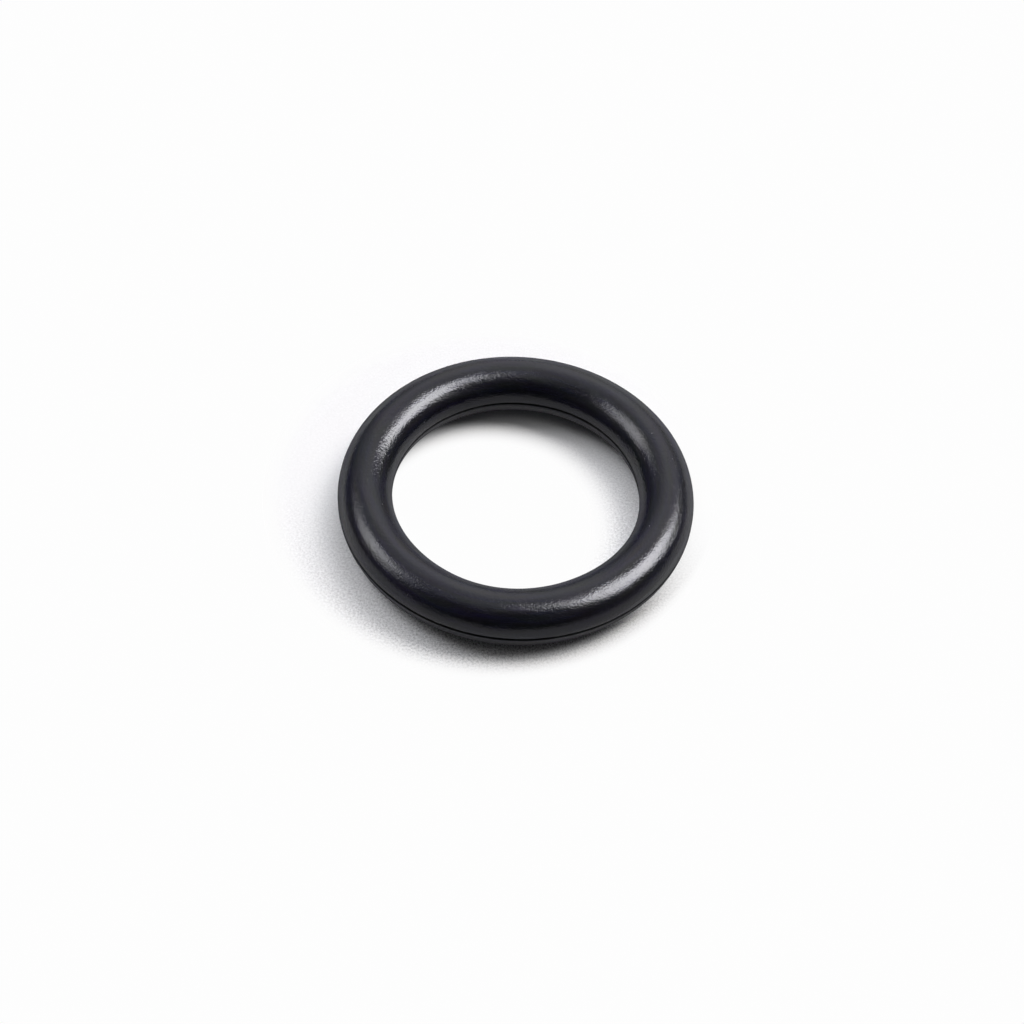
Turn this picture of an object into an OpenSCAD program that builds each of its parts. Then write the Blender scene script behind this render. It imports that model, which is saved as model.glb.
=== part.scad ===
/* [Ring] */
// Inner diameter of the ring, before the flash is trimmed
inner_d = 18; // [10:0.5:60]
// Diameter of the round section
section_d = 4; // [2:0.1:8]

/* [Parting land] */
// Height of the flat land left by the trimmed flash, on each side of the parting line
land_h = 0.08; // [0.04:0.01:0.2]

/* [Parting line] */
// Width of the parting line between its straight walls
line_w = 0.14; // [0.08:0.01:0.2]
// Length of the straight walls, from the rounded edges in to the rounded root
line_wall = 0.02; // [0.01:0.01:0.1]
// Radius of the rounded edges where the line meets the land
line_edge_r = 0.04; // [0.02:0.01:0.08]

/* [Hidden] */

// Facets of the ring's full turn, of its section and of the small arcs in the parting line
turn_fn = 240;
section_fn = 96;
arc_fn = 32;

// Radius of the round section
section_r = section_d / 2;
// Radius of the circle that the section's centre follows round the ring's axis
centre_r = inner_d / 2 + section_r;
// The root of the line is a half round as wide as the line
root_r = line_w / 2;
// Distance from the land in to the centre of the root
root_depth = line_edge_r + line_wall;
// Width of the line where its rounded edges run out into the land
line_mouth = line_w + 2 * line_edge_r;
// Whole height of the land, with the line in the middle of it
land_total_h = line_mouth + 2 * land_h;
// Distance from the section's centre to the land
land_x = sqrt(pow(section_r, 2) - pow(land_total_h / 2, 2));

// Outline of what one parting line takes from the material at the -X side of the land at x = 0:
// a round root, two straight walls and a mouth with rounded edges, which runs out past the land
module line_cutter() {
    translate([-root_depth, 0]) circle(r = root_r, $fn = arc_fn);
    translate([-root_depth, -root_r]) square([root_depth, line_w]);
    difference() {
        translate([-line_edge_r, -line_mouth / 2]) square([2 * line_edge_r, line_mouth]);
        for (side = [-1, 1])
            translate([-line_edge_r, side * line_mouth / 2]) circle(r = line_edge_r, $fn = arc_fn);
    }
}

// What one side of the section loses: the trimmed cap, and the parting line in the land under it
module side_cutter() {
    translate([land_x, -section_r]) square([section_r, section_d]);
    translate([land_x, 0]) line_cutter();
}

// The round section, with a land and a parting line at its outermost and innermost points
module section() {
    difference() {
        circle(r = section_r, $fn = section_fn);
        side_cutter();
        mirror([1, 0]) side_cutter();
    }
}

// The ring, moulded in one piece, lying flat on z = 0 with its axis on the Z axis
module o_ring() {
    color([0.05, 0.05, 0.06])
        translate([0, 0, section_r])
            rotate_extrude($fn = turn_fn)
                translate([centre_r, 0]) section();
}

o_ring();
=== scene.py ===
import math

import bpy
import numpy as np
from mathutils import Matrix, Vector


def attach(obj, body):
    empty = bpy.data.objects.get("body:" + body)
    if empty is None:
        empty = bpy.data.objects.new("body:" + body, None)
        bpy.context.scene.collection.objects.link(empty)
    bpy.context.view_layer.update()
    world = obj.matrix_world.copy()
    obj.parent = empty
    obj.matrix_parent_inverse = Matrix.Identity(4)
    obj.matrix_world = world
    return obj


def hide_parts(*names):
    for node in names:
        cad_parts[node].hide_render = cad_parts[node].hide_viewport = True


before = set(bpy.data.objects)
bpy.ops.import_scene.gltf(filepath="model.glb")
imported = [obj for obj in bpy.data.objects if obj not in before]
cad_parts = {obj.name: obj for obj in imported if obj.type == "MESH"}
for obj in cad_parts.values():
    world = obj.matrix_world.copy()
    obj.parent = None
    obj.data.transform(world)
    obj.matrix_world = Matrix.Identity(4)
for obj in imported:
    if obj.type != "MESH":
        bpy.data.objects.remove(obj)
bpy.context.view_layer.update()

MM = 0.001

# The ring's driving sizes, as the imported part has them
INNER_D = 18 * MM
SECTION_D = 4 * MM
LAND_H = 0.08 * MM
LINE_W = 0.14 * MM
LINE_WALL = 0.02 * MM
LINE_EDGE_R = 0.04 * MM

# What follows from them: the section, and the land with the parting line in it
SECTION_R = SECTION_D / 2
CENTRE_R = INNER_D / 2 + SECTION_R
RING_CENTRE = Vector((0, 0, SECTION_R))
LINE_MOUTH = LINE_W + 2 * LINE_EDGE_R
LAND_TOTAL_H = LINE_MOUTH + 2 * LAND_H
LAND_X = math.sqrt(SECTION_R ** 2 - (LAND_TOTAL_H / 2) ** 2)

# The photograph's frame, and where the ring's centre falls in it, in pixels
IMAGE_SIDE = 1024
RING_PIXEL = (515.95, 495.2)
FOCAL_PIXELS = 2410.0

# Where the camera is, as seen from the ring's centre
CAMERA_DISTANCE = 176 * MM
CAMERA_ELEVATION = math.radians(50.6)
CAMERA_ROLL = math.radians(3.516)
SENSOR_WIDTH = 36.0
CLIP_START = 10 * MM
CLIP_END = 10.0


def put(name, data):
    """A new object of the scene with this data."""
    thing = bpy.data.objects.new(name, data)
    bpy.context.scene.collection.objects.link(thing)
    return thing


def looking_back(place_from_ring):
    """The turn of a camera or lamp that looks from this place to the ring's centre."""
    return (-place_from_ring).to_track_quat("-Z", "Y").to_matrix().to_4x4()


def add_camera():
    """The camera, aimed so that the ring falls where the photograph has it."""
    data = bpy.data.cameras.new("camera")
    data.sensor_width = SENSOR_WIDTH
    data.lens = SENSOR_WIDTH * FOCAL_PIXELS / IMAGE_SIDE
    data.clip_start = CLIP_START
    data.clip_end = CLIP_END
    direction = Vector((0, -math.cos(CAMERA_ELEVATION), math.sin(CAMERA_ELEVATION)))
    place = Matrix.Translation(RING_CENTRE + CAMERA_DISTANCE * direction)
    roll = Matrix.Rotation(CAMERA_ROLL, 4, "Z")
    pan = Matrix.Rotation(math.atan((RING_PIXEL[0] - IMAGE_SIDE / 2) / FOCAL_PIXELS), 4, "Y")
    tilt = Matrix.Rotation(math.atan((RING_PIXEL[1] - IMAGE_SIDE / 2) / FOCAL_PIXELS), 4, "X")
    camera = put("camera", data)
    camera.matrix_world = place @ looking_back(direction) @ roll @ pan @ tilt
    bpy.context.scene.camera = camera


# How many points each stretch of a quarter of the section has
BODY_POINTS = 28
LAND_POINTS = 2
EDGE_POINTS = 5
ROOT_POINTS = 6

# Points this near to a height count as lying at it
TOUCH = 1e-6 * MM


def arc(centre, radius, start, end, count):
    """Points on an arc in the section's plane, angles in degrees, both ends included."""
    angles = np.radians(np.linspace(start, end, count))
    across = centre[0] + radius * np.cos(angles)
    up = centre[1] + radius * np.sin(angles)
    return np.column_stack((across, up))


def half_section():
    """The outer half of the section from its top to its bottom: body, land, line, land, body."""
    land_angle = math.degrees(math.asin(LAND_TOTAL_H / 2 / SECTION_R))
    body = arc((0, 0), SECTION_R, 90, land_angle, BODY_POINTS)
    land_heights = np.linspace(LAND_TOTAL_H / 2, LINE_MOUTH / 2, LAND_POINTS + 2)[1:-1]
    land = np.column_stack((np.full(LAND_POINTS, LAND_X), land_heights))
    edge = arc((LAND_X - LINE_EDGE_R, LINE_MOUTH / 2), LINE_EDGE_R, 0, -90, EDGE_POINTS)
    root = arc((LAND_X - LINE_EDGE_R - LINE_WALL, 0), LINE_W / 2, 90, 180, ROOT_POINTS)
    upper = np.vstack((body, land, edge, root))
    lower = upper[:-1][::-1] * (1, -1)
    return np.vstack((upper, lower))


def section():
    """The closed section, from its top down the inner side to its bottom and up the outer side."""
    outer = half_section()
    inner = outer * (-1, 1)
    return np.vstack((inner, outer[::-1][1:-1]))


# How each parting line runs: side of the section, -1 for the inner and 1 for the outer, how far it
# sags and at what angle round the ring, how much wider than drawn it is and at what angle most
LINE_COURSE = [
    (-1, 0.125 * MM, 110, 1.2, 120),
    (1, 0.11 * MM, -60, 1.35, -40),
]

# How much a line's width swings once round the ring, and the most that it may come to, which keeps
# the mouth inside the land
LINE_SWING = 0.1
LINE_WIDEST = 1.6

# How much deeper than drawn a line is
LINE_DEEPER = 1.5

# Random waves round the ring: how strong, the fewest and the most waves in a turn, how many kinds
DRIFT_WAVES = [(0.012 * MM, 2, 14, 8), (0.006 * MM, 30, 90, 12)]
WIDTH_WAVES = [(0.12, 8, 60, 14), (0.08, 90, 220, 16)]
DEPTH_WAVES = [(0.18, 8, 120, 16)]
RAGGED_WAVES = [(0.003 * MM, 60, 260, 20)]

# A line carries the rubber with it fully up to the first height, and not at all from the second
CARRY_FULL = 0.2 * MM
CARRY_NONE = 0.6 * MM

# The section's swell, a sum of random waves: by what share the section is smaller on average, how
# many kinds of wave, the range of their number round the ring and across the section, and what the
# sum is divided by, so that it mostly stays between -1 and 1
SWELL = 0.0008
SWELL_KINDS = 40
SWELL_ROUND = (3, 30)
SWELL_ACROSS = (-3, 4)
SWELL_SUM = 8

# How far the hole is out of round at the front, in how many waves, and at what angle it is widest
OUT_OF_ROUND = 0.085 * MM
OUT_OF_ROUND_WAVES = 4
WIDEST_AT = math.radians(-97)

# The lathe's steps in a full turn, and the seed of all random numbers
TURN_STEPS = 600
SEED = 11

# A line's painted shade is at its full from this depth on
LINE_SHADE_DEPTH = 0.012 * MM

# How many times longer round the ring than across it the rubber's streaks are
STREAK_STRETCH = 6


def waves(angles, rng, kinds):
    """A random curve round the ring, made of whole numbers of waves."""
    total = np.zeros_like(angles)
    for strength, fewest, most, count in kinds:
        curve = np.zeros_like(angles)
        for number in rng.integers(fewest, most, count):
            curve += np.sin(number * angles + rng.uniform(0, math.tau))
        total += strength * curve / math.sqrt(count / 2) / 2
    return total


def is_in_line(points):
    """Which of the section's points lie in a parting line or on its edge."""
    return np.abs(points[:, 1]) < LINE_MOUTH / 2 + TOUCH


def run_line(place, points, turn, rng, course):
    """Bend one parting line, and the rubber beside it, along its course round the ring."""
    side, sag, sag_at, wider, wider_at = course
    out = np.abs(points[:, 0])
    up = points[:, 1]
    height = np.abs(up)
    in_line = is_in_line(points)
    on_land = ~in_line & (height < LAND_TOTAL_H / 2)
    carried = np.clip((CARRY_NONE - height) / (CARRY_NONE - CARRY_FULL), 0, 1)
    carried = carried * (out > SECTION_R / 2)

    drift = -sag * (1 + np.cos(2 * (turn - math.radians(sag_at)))) / 2
    drift = (drift + waves(turn, rng, DRIFT_WAVES))[:, None]
    width = wider + LINE_SWING * np.cos(turn - math.radians(wider_at))
    width = np.minimum(width + waves(turn, rng, WIDTH_WAVES), LINE_WIDEST)[:, None]
    depth = (LINE_DEEPER + waves(turn, rng, DEPTH_WAVES))[:, None]
    ragged = waves(turn, rng, RAGGED_WAVES)[:, None]

    mouth = width * LINE_MOUTH / 2
    land_up = mouth + (height - LINE_MOUTH / 2) * (LAND_TOTAL_H / 2 - mouth) / LAND_H
    new_up = np.where(in_line, up * width, np.where(on_land, np.sign(up) * land_up, up))
    new_out = np.where(in_line, LAND_X - (LAND_X - out) * depth, out) + ragged * carried
    swing = drift * carried / SECTION_R
    mine = np.sign(points[:, 0]) == side
    place[:, mine, 0] = (side * (new_out * np.cos(swing) - new_up * np.sin(swing)))[:, mine]
    place[:, mine, 1] = (new_out * np.sin(swing) + new_up * np.cos(swing))[:, mine]


def shrink(turn, around, rng):
    """By what share the section is smaller than drawn, for each point of each step of the lathe."""
    swell = np.zeros((len(turn), len(around)))
    for _ in range(SWELL_KINDS):
        waves_round = rng.integers(*SWELL_ROUND)
        waves_across = rng.integers(*SWELL_ACROSS)
        start = rng.uniform(0, math.tau)
        swell += np.sin(waves_round * turn[:, None] + waves_across * around + start)
    return SWELL * (1 + swell / SWELL_SUM).clip(0, 2)


def hole_shift(turn, around):
    """How far the hole's wall is moved away from the ring's axis: most at the front, little behind."""
    front = ((1 - np.sin(turn)) / 2) ** 2
    uneven = OUT_OF_ROUND * np.cos(OUT_OF_ROUND_WAVES * (turn - WIDEST_AT)) * front
    return uneven[:, None] * np.clip(-np.cos(around), 0, 1)


def lathe_faces(steps, count):
    """The lathe's four-sided faces, between each step and the next and each point and the next."""
    here = np.arange(count)
    after = (here + 1) % count
    rows = []
    for step in range(steps):
        near = step * count
        far = (step + 1) % steps * count
        rows.append(np.column_stack((near + here, near + after, far + after, far + here)))
    return np.vstack(rows).tolist()


def add_attribute(mesh, name, kind, field, values):
    """A value for each vertex, which the rubber's material reads by name."""
    attribute = mesh.attributes.new(name, kind, "POINT")
    attribute.data.foreach_set(field, values.astype(np.float32).ravel())


def ring_mesh():
    """The ring as a fine lathe, with the small unevenness of a moulded and trimmed rubber edge."""
    rng = np.random.default_rng(SEED)
    points = section()
    count = len(points)
    turn = np.linspace(0, math.tau, TURN_STEPS, endpoint=False)
    around = np.arctan2(points[:, 1], points[:, 0])
    place = np.repeat(points[None], TURN_STEPS, axis=0)
    for course in LINE_COURSE:
        run_line(place, points, turn, rng, course)
    place *= 1 - shrink(turn, around, rng)[..., None]
    place[..., 0] += hole_shift(turn, around)

    toward = np.stack((np.cos(turn), np.sin(turn)), -1)[:, None]
    flat = (CENTRE_R + place[..., :1]) * toward
    vertices = np.concatenate((flat, SECTION_R + place[..., 1:]), -1)
    mesh = bpy.data.meshes.new("rubber_ring")
    mesh.from_pydata(vertices.reshape(-1, 3).tolist(), [], lathe_faces(TURN_STEPS, count))
    mesh.polygons.foreach_set("use_smooth", [True] * len(mesh.polygons))

    # Painted shade: each point's depth in a parting line, which darkens its colour
    depth = (LAND_X - np.abs(points[:, 0])) / LINE_SHADE_DEPTH
    line_shade = np.clip(depth, 0, 1) * is_in_line(points)
    add_attribute(mesh, "groove", "FLOAT", "value", np.tile(line_shade, TURN_STEPS))
    slow = (CENTRE_R / STREAK_STRETCH * toward).repeat(count, 1)
    across = np.broadcast_to((around * SECTION_R)[:, None], (TURN_STEPS, count, 1))
    streak_place = np.concatenate((slow, across), -1)
    add_attribute(mesh, "streak_place", "FLOAT_VECTOR", "vector", streak_place)
    mesh.update()
    return mesh


# How marked a noise is: its detail and its roughness
SMOOTH = (1.0, 0.5)
CRISP = (1.0, 0.6)
BROKEN = (2.0, 0.6)
GRITTY = (2.0, 0.8)

# The part of a noise's range that nearly all of it lies in
NOISE_LOW = 0.3
NOISE_HIGH = 0.7

# Blender's mix node has sockets for each kind of data: its two inputs, and its output
MIX_SOCKETS = {"FLOAT": (2, 3, 0), "RGBA": (6, 7, 2)}


class Tree:
    """A node tree with short calls that add nodes and link them."""

    def __init__(self, owner):
        owner.use_nodes = True
        self.tree = owner.node_tree
        self.tree.nodes.clear()

    def add(self, kind, settings=None, **inputs):
        """A node with these settings. An input's name has _ for a space."""
        node = self.tree.nodes.new(kind)
        for name, value in (settings or {}).items():
            setattr(node, name, value)
        for name, value in inputs.items():
            self.feed(node, name.replace("_", " "), value)
        return node

    def feed(self, node, name, value):
        """Link a socket to this input, or set it to this constant."""
        socket = node.inputs[name]
        if isinstance(value, bpy.types.NodeSocket):
            self.tree.links.new(value, socket)
        else:
            socket.default_value = value

    def math(self, operation, a, b):
        """One operation on two values."""
        node = self.add("ShaderNodeMath", {"operation": operation})
        self.feed(node, 0, a)
        self.feed(node, 1, b)
        return node.outputs[0]

    def total(self, first, *others):
        """All values added up."""
        for other in others:
            first = self.math("ADD", first, other)
        return first

    def product(self, first, *others):
        """All values multiplied."""
        for other in others:
            first = self.math("MULTIPLY", first, other)
        return first

    def highest(self, first, *others):
        """The highest of the values."""
        for other in others:
            first = self.math("MAXIMUM", first, other)
        return first

    def noise(self, vector, size, marked):
        """Noise with features of about this size in metres."""
        node = self.add("ShaderNodeTexNoise", Vector=vector, Scale=1 / size)
        node.inputs["Detail"].default_value = marked[0]
        node.inputs["Roughness"].default_value = marked[1]
        return node.outputs["Fac"]

    def cells(self, vector, size):
        """Cells of about this size in metres: the distance to the nearest centre, and its chance."""
        node = self.add("ShaderNodeTexVoronoi", Vector=vector, Scale=1 / size)
        split = self.add("ShaderNodeSeparateColor", Color=node.outputs["Color"])
        return node.outputs["Distance"], split.outputs["Red"]

    def remap(self, value, low, high, to_low, to_high, curve="LINEAR"):
        """The value's range from low to high, spread over another, and held at its ends."""
        node = self.add("ShaderNodeMapRange", {"interpolation_type": curve}, Value=value)
        node.inputs["From Min"].default_value = low
        node.inputs["From Max"].default_value = high
        node.inputs["To Min"].default_value = to_low
        node.inputs["To Max"].default_value = to_high
        return node.outputs["Result"]

    def spread(self, noise, to_low, to_high):
        """The middle of a noise's range, spread over this one."""
        return self.remap(noise, NOISE_LOW, NOISE_HIGH, to_low, to_high)

    def mix(self, factor, a, b, kind="RGBA", blend="MIX"):
        """From colour a to colour b, or from value a to value b where the kind is FLOAT."""
        first, second, result = MIX_SOCKETS[kind]
        node = self.add("ShaderNodeMix", {"data_type": kind, "blend_type": blend})
        self.feed(node, 0, factor)
        self.feed(node, first, a)
        self.feed(node, second, b)
        return node.outputs[result]

    def place(self):
        """The place on the object, in metres."""
        return self.add("ShaderNodeTexCoord").outputs["Object"]

    def attribute(self, name, output):
        """What the mesh holds for each vertex under this name."""
        return self.add("ShaderNodeAttribute", {"attribute_name": name}).outputs[output]

    def finish(self, kind, surface):
        """The output node, with this surface."""
        output = self.add(kind)
        self.feed(output, "Surface", surface.outputs[0])


# The rubber's blacks: the plain one, the bluish one of its tints, and the painted shade of the parting
# line
BLACK = (0.0052, 0.0052, 0.0060, 1)
BLUE_BLACK = (0.0044, 0.0040, 0.0145, 1)
LINE_PAINTED_SHADE = (0.001, 0.001, 0.001, 1)

# What multiplies them: from a faint purple cast to a faint green one
PURPLE_CAST = (1.1, 0.8, 1.05, 1)
GREEN_CAST = (0.9, 1.35, 0.95, 1)

# The specks of dust: their colour, the cells they sit in, their share of a cell's size and of cells
DUST = (0.09, 0.09, 0.10, 1)
DUST_CELL = 0.8 * MM
DUST_REACH = 0.055
DUST_CHANCE = 0.16

# The sizes of the rubber's marks, the first four of them long round the ring
STREAK_SIZE = 0.5 * MM
UNDULATION_SIZE = 1.1 * MM
TINT_SIZE = 0.45 * MM
CAST_SIZE = 0.6 * MM
MOTTLE_SIZE = 0.36 * MM
GRAIN_SIZE = 0.14 * MM
PIT_CELL = 0.19 * MM

# How rough the rubber is: over the streaks and what the mottle adds, each from where its noise is
# low to where it is high, what the parting line adds, and what is added where the rubber is seen at
# a low angle, over this range of the layer weight
STREAK_ROUGH = (0.15, 0.21)
MOTTLE_ROUGH = (-0.03, 0.03)
LINE_ROUGH = 0.8
RIM_ROUGH = 0.55
RIM_START = 0.4
RIM_END = 0.85

# How high a full step of the relief is, and how high each kind is beside the grain
RELIEF = 0.02 * MM
MOTTLE_HEIGHT = 0.55
STREAK_HEIGHT = 0.6
UNDULATION_HEIGHT = 4.5
PIT_HEIGHT = -0.35

# The share of a cell's size up to which a pit is at its full depth, and the share where it ends
PIT_FLOOR = 0.05
PIT_EDGE = 0.4

# How the rubber mirrors
RUBBER_IOR = 1.5
RUBBER_SPECULAR = 0.26
RUBBER_TINT = (0.96, 0.96, 1.0, 1)


def rubber_colour(tree, place, along, groove):
    """Black with faint tints, a few specks of dust, and painted shade darkening the parting line."""
    tints = tree.spread(tree.noise(along, TINT_SIZE, BROKEN), 0, 1)
    casts = tree.spread(tree.noise(along, CAST_SIZE, BROKEN), 0, 1)
    black = tree.mix(tints, BLACK, BLUE_BLACK)
    cast = tree.mix(casts, PURPLE_CAST, GREEN_CAST)
    tinted = tree.mix(1.0, black, cast, blend="MULTIPLY")
    distance, chance = tree.cells(place, DUST_CELL)
    in_speck = tree.math("LESS_THAN", distance, DUST_REACH)
    has_speck = tree.math("LESS_THAN", chance, DUST_CHANCE)
    dusty = tree.mix(tree.product(in_speck, has_speck), tinted, DUST)
    # Painted shade: the parting line's colour goes to near black with its depth
    return tree.mix(groove, dusty, LINE_PAINTED_SHADE)


def rubber_roughness(tree, streaks, mottle, groove):
    """Satin, a little uneven, and duller where it is seen at a low angle and in the parting line."""
    facing = tree.add("ShaderNodeLayerWeight").outputs["Facing"]
    return tree.total(
        tree.spread(streaks, *STREAK_ROUGH),
        tree.spread(mottle, *MOTTLE_ROUGH),
        tree.remap(facing, RIM_START, RIM_END, 0, RIM_ROUGH),
        tree.product(groove, LINE_ROUGH),
    )


def rubber_relief(tree, place, along, streaks, mottle):
    """Fine grain and mottle, long streaks, slow undulation and sparse pits."""
    undulation = tree.noise(along, UNDULATION_SIZE, SMOOTH)
    grain = tree.noise(place, GRAIN_SIZE, CRISP)
    distance, depth = tree.cells(place, PIT_CELL)
    pits = tree.product(tree.remap(distance, PIT_FLOOR, PIT_EDGE, 1, 0), depth)
    height = tree.total(
        grain,
        tree.product(mottle, MOTTLE_HEIGHT),
        tree.product(streaks, STREAK_HEIGHT),
        tree.product(undulation, UNDULATION_HEIGHT),
        tree.product(pits, PIT_HEIGHT),
    )
    bump = tree.add("ShaderNodeBump", Height=height, Strength=1.0, Distance=RELIEF)
    return bump.outputs["Normal"]


def rubber_material():
    """Black moulded rubber: satin, with faint tints, a fine grain and long streaks round the ring."""
    material = bpy.data.materials.new("black_rubber")
    tree = Tree(material)
    place = tree.place()
    along = tree.attribute("streak_place", "Vector")
    # How deep a point lies in a parting line: the mask of its painted shade and of its added roughness
    groove = tree.attribute("groove", "Fac")
    streaks = tree.noise(along, STREAK_SIZE, SMOOTH)
    mottle = tree.noise(place, MOTTLE_SIZE, BROKEN)
    shader = tree.add("ShaderNodeBsdfPrincipled")
    tree.feed(shader, "Base Color", rubber_colour(tree, place, along, groove))
    tree.feed(shader, "Roughness", rubber_roughness(tree, streaks, mottle, groove))
    tree.feed(shader, "Normal", rubber_relief(tree, place, along, streaks, mottle))
    shader.inputs["IOR"].default_value = RUBBER_IOR
    shader.inputs["Specular IOR Level"].default_value = RUBBER_SPECULAR
    shader.inputs["Specular Tint"].default_value = RUBBER_TINT
    tree.finish("ShaderNodeOutputMaterial", shader)
    return material


def add_ring():
    """The dressed ring, which stands for the CAD's."""
    ring = put("rubber_ring", ring_mesh())
    ring.data.materials.append(rubber_material())
    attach(ring, "root")
    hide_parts("o_ring")


FLOOR_SIZE = 1.4
WHITE = 0.985
FLOOR_GREY = 0.87
SPECKLE_SIZE = 0.17 * MM

# The floor's speckle is weak behind the ring and strong in front, a little to the right: how much
# X counts beside Y, where it starts and ends to grow, and from what to what
SPECKLE_SLANT = 0.35
SPECKLE_START = -7 * MM
SPECKLE_END = 12 * MM
SPECKLE_WEAK = 0.2
SPECKLE_STRONG = 1.75

# The circles that bound the shaded floor, inside the ring, round it and on its right: the centre,
# and the distances from it at which the floor is still shaded and is plain
INSIDE_CIRCLE = ((-2.1 * MM, -1.3 * MM, 0), 10.2 * MM, 7.8 * MM)
OUTSIDE_CIRCLE = ((-1.9 * MM, 1.6 * MM, 0), 14.5 * MM, 16.7 * MM)
RIGHT_CIRCLE = ((60 * MM, 10 * MM, 0), 57.4 * MM, 46 * MM)

# Under the middle of the section, inside gives way to outside
BEYOND_CIRCLE = ((0, 0, 0), CENTRE_R - 0.2 * MM, CENTRE_R + 0.2 * MM)

# Painted reflection: how white the shaded floor glows at least to glossy rays, where the ring mirrors
# it, inside and outside
PAINTED_REFLECTION_INSIDE = 0.32
PAINTED_REFLECTION_OUTSIDE = 0.2


def from_circle(tree, place, circle):
    """A smooth step from 0 to 1 between two distances from a centre."""
    centre, start, end = circle
    distance = tree.add("ShaderNodeVectorMath", {"operation": "DISTANCE"})
    tree.feed(distance, 0, place)
    distance.inputs[1].default_value = centre
    return tree.remap(distance.outputs["Value"], start, end, 0, 1, "SMOOTHSTEP")


def speckled_floor(tree, place):
    """The floor's own pale grey, as light and shadow fall on it."""
    split = tree.add("ShaderNodeSeparateXYZ", Vector=place)
    speckle = tree.math("SUBTRACT", tree.noise(place, SPECKLE_SIZE, GRITTY), 0.5)
    slant = tree.product(split.outputs["X"], SPECKLE_SLANT)
    toward_front = tree.math("SUBTRACT", slant, split.outputs["Y"])
    strength = tree.remap(toward_front, SPECKLE_START, SPECKLE_END, SPECKLE_WEAK, SPECKLE_STRONG)
    level = tree.total(tree.product(speckle, strength), FLOOR_GREY)
    colour = tree.add("ShaderNodeCombineColor", Red=level, Green=level, Blue=level)
    return tree.add("ShaderNodeBsdfDiffuse", Color=colour.outputs[0])


def floor_whiteness(tree, place):
    """How plainly white the floor is: in full away from the ring's shadow, if a ray shows it, and in
    part within the shadow to glossy rays, as a painted reflection.
    """
    inside = from_circle(tree, place, INSIDE_CIRCLE)
    outside = from_circle(tree, place, OUTSIDE_CIRCLE)
    outside = tree.highest(outside, from_circle(tree, place, RIGHT_CIRCLE))
    beyond = from_circle(tree, place, BEYOND_CIRCLE)
    plain = tree.mix(beyond, inside, outside, "FLOAT")
    rays = tree.add("ShaderNodeLightPath").outputs
    shown = tree.highest(rays["Is Camera Ray"], rays["Is Glossy Ray"], rays["Is Transmission Ray"])
    # Painted reflection: to glossy rays the shaded floor glows at least this white
    least = tree.remap(beyond, 0, 1, PAINTED_REFLECTION_INSIDE, PAINTED_REFLECTION_OUTSIDE)
    mirrored = tree.product(rays["Is Glossy Ray"], least)
    return tree.product(tree.highest(plain, mirrored), shown)


def add_floor():
    """A white floor that keeps the ring's shadow, with a faint speckle in it."""
    half = FLOOR_SIZE / 2
    corners = [(-half, -half, 0), (half, -half, 0), (half, half, 0), (-half, half, 0)]
    mesh = bpy.data.meshes.new("floor")
    mesh.from_pydata(corners, [], [(0, 1, 2, 3)])
    material = bpy.data.materials.new("white_floor")
    mesh.materials.append(material)
    tree = Tree(material)
    place = tree.place()
    white = tree.add("ShaderNodeEmission", Color=(1, 1, 1, 1), Strength=WHITE)
    mixed = tree.add("ShaderNodeMixShader")
    tree.feed(mixed, 0, floor_whiteness(tree, place))
    tree.feed(mixed, 1, speckled_floor(tree, place).outputs[0])
    tree.feed(mixed, 2, white.outputs[0])
    tree.finish("ShaderNodeOutputMaterial", mixed)
    floor = put("floor", mesh)


# The colours of the lights: those that shade the floor are neutral together
NEUTRAL = (1, 1, 1)
WARM = (1.06, 1.0, 0.95)
COOL = (0.98, 0.985, 1.03)

# How far the lights are. Lights that overlap as the ring sees them differ in distance
NEAR = 1.5
MIDDLE = 1.6
FAR = 1.7

# The softboxes that the ring mirrors: azimuth, elevation, width and height as the ring sees them in
# degrees, radiance, roll in degrees, distance
GLEAM_LIGHTS = {
    "key_gleam": (79, 53.5, 39, 52.5, 12.8, 14, NEAR),
    "key_core_gleam": (73, 51.5, 28.5, 42, 9.2, 21.5, MIDDLE),
    "key_left_gleam": (69.5, 51, 20, 43, 4.5, 34, FAR),
    "fill_gleam": (-81, 44.5, 28.5, 44.5, 4.3, 57, NEAR),
    "fill_core_gleam": (-78, 43, 23.5, 25.5, 5.0, 44, MIDDLE),
}

# The softboxes that shade: azimuth, elevation, width, height, radiance, colour
SHADE_LIGHTS = {
    "key_shade": (59, 51, 17, 34, 6.8, WARM),
    "back_shade": (19, 52, 42, 42, 3.0, COOL),
    "low_back_shade": (30, 35, 30, 30, 1.2, COOL),
    "left_shade": (-58, 31, 40, 40, 3.1, COOL),
    "high_left_shade": (-58, 55, 35, 35, 1.8, COOL),
}


def heading(azimuth, elevation):
    """Direction to a point in the room, in degrees: azimuth 0 is behind the ring, 90 on its right."""
    turned = math.radians(azimuth)
    raised = math.radians(elevation)
    level = math.cos(raised)
    return Vector((math.sin(turned) * level, math.cos(turned) * level, math.sin(raised)))


def soft_light(name, azimuth, elevation, width, height, radiance, roll, distance, colour):
    """An oval softbox that spans width by height degrees as the ring sees it."""
    data = bpy.data.lights.new(name, "AREA")
    data.shape = "ELLIPSE"
    data.size = 2 * distance * math.tan(math.radians(width / 2))
    data.size_y = 2 * distance * math.tan(math.radians(height / 2))
    area = math.pi / 4 * data.size * data.size_y
    data.energy = radiance * math.pi * area
    data.color = colour
    direction = heading(azimuth, elevation)
    place = Matrix.Translation(RING_CENTRE + distance * direction)
    turn = Matrix.Rotation(math.radians(roll), 4, "Z")
    light = put(name, data)
    light.matrix_world = place @ looking_back(direction) @ turn
    return light


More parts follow.
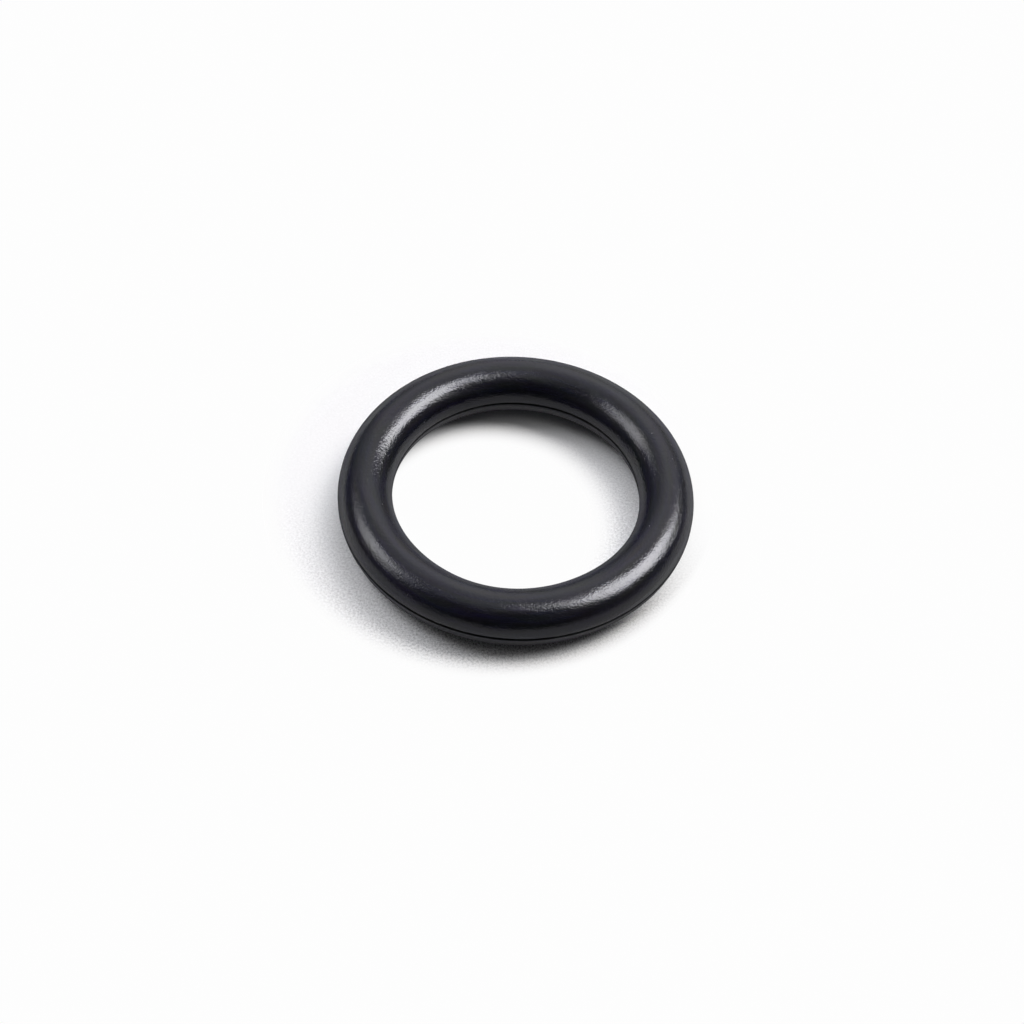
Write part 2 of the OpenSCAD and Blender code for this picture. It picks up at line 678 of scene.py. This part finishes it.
def add_lights():
    """The lights. Some are only mirrored and some only shade: so the highlights and the cast shadow
    are each set as the photograph has them."""
    for name, (*aim, roll, distance) in GLEAM_LIGHTS.items():
        light = soft_light(name, *aim, roll, distance, NEUTRAL)
        light.visible_diffuse = False
    for name, (*aim, colour) in SHADE_LIGHTS.items():
        light = soft_light(name, *aim, 0, NEAR, colour)
        light.visible_glossy = False


# The room's soft glows, as the ring mirrors them: azimuth, elevation, spread in degrees, level
GLOWS = [
    (7, 40, 28.5, 2.15),
    (26, 13, 54, 0.15),
    (91, 57, 28, 0.78),
    (-66, 57.5, 33, 0.27),
    (93, 38, 34.5, 0.34),
    (-97, 33, 33.5, 0.34),
]

# How high a direction points where the light overhead begins, and how strong it is at most, as the
# ring mirrors it and as it shades
OVERHEAD_START = 0.86
OVERHEAD_GLEAM = 0.85
OVERHEAD_SHADE = 0.61

# The room's own level in a mirror: at the horizon, and from a little above it on
HORIZON_GLEAM = 0.30
ROOM_GLEAM = 0.05
HORIZON_TOP = 0.045

# What is mirrored from the horizon is dimmed by this much, and less up to this height
LOW_DIM = 0.5
LOW_TOP = 0.35

# The room's level as it shades: everywhere, and what is added up to straight behind the ring
ROOM_SHADE = 0.02
BEHIND_SHADE = 0.37
BEHIND_START = -0.9


def glow(tree, direction, azimuth, elevation, spread, level):
    """A round glow that fades away from its middle."""
    toward = tree.add("ShaderNodeVectorMath", {"operation": "DOT_PRODUCT"})
    tree.feed(toward, 0, direction)
    toward.inputs[1].default_value = heading(azimuth, elevation)
    sharpness = 1 / (1 - math.cos(math.radians(spread)))
    falloff = tree.product(tree.math("SUBTRACT", toward.outputs["Value"], 1.0), sharpness)
    return tree.product(tree.math("EXPONENT", falloff, 0.0), level)


def add_world():
    """A plain white backdrop to the camera, and a room with soft glows to the ring and the floor."""
    world = bpy.data.worlds.new("room")
    bpy.context.scene.world = world
    tree = Tree(world)
    direction = tree.add("ShaderNodeTexCoord").outputs["Generated"]
    split = tree.add("ShaderNodeSeparateXYZ", Vector=direction)
    up = split.outputs["Z"]
    overhead = tree.remap(up, OVERHEAD_START, 1.0, 0.0, 1.0)

    glows = [glow(tree, direction, *settings) for settings in GLOWS]
    horizon = tree.remap(up, 0.0, HORIZON_TOP, HORIZON_GLEAM, ROOM_GLEAM)
    gleam = tree.total(horizon, tree.product(overhead, OVERHEAD_GLEAM), *glows)
    gleam = tree.product(gleam, tree.remap(up, 0.0, LOW_TOP, LOW_DIM, 1.0))

    behind = tree.remap(split.outputs["Y"], BEHIND_START, 1.0, 0.0, 1.0)
    behind = tree.product(behind, behind, BEHIND_SHADE)
    shade = tree.total(behind, ROOM_SHADE, tree.product(overhead, OVERHEAD_SHADE))

    rays = tree.add("ShaderNodeLightPath").outputs
    lit = tree.mix(rays["Is Glossy Ray"], shade, gleam, "FLOAT")
    shown = tree.highest(rays["Is Camera Ray"], rays["Is Transmission Ray"])
    backdrop = tree.mix(shown, lit, WHITE, "FLOAT")
    room = tree.add("ShaderNodeBackground", Color=(1, 1, 1, 1), Strength=backdrop)
    tree.finish("ShaderNodeOutputWorld", room)


add_camera()
add_ring()
add_floor()
add_lights()
add_world()
bpy.context.scene.view_settings.view_transform = "Standard"
